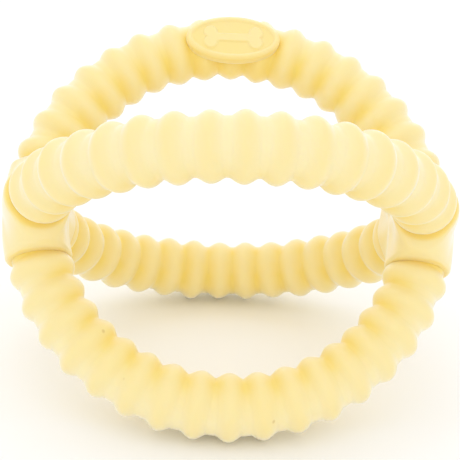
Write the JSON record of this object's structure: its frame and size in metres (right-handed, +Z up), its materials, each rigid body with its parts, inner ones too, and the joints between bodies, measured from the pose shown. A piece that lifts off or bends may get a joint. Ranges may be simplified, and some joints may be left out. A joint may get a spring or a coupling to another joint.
{
  "type": "crossed ring chew toy",
  "caption": "Pet chew toy of two ribbed rubber rings that cross at smooth hubs and lean apart, so it stands and can be gripped, tugged and rolled; blank oval badge on one ring.",
  "frame": {"origin": "on the ground that the toy stands on, under the middle of both rings", "axes": "+X through both hubs, +Z up, front at -Y; one ring leans back and the other leans forward by the same angle"},
  "size_m": [0.12, 0.092, 0.0894],
  "materials": {
    "rubber": "matte moulded natural rubber, pale yellow",
    "hub_rubber": "smooth matte moulded natural rubber, pale yellow",
    "badge_rubber": "smooth matte moulded natural rubber, pale yellow"
  },
  "bodies": {
    "root": {"upper_rear_arc": "rubber", "lower_front_arc": "rubber", "upper_front_arc": "rubber", "lower_rear_arc": "rubber", "left_hub": "hub_rubber", "right_hub": "hub_rubber", "badge": "badge_rubber"}
  },
  "joints": []
}
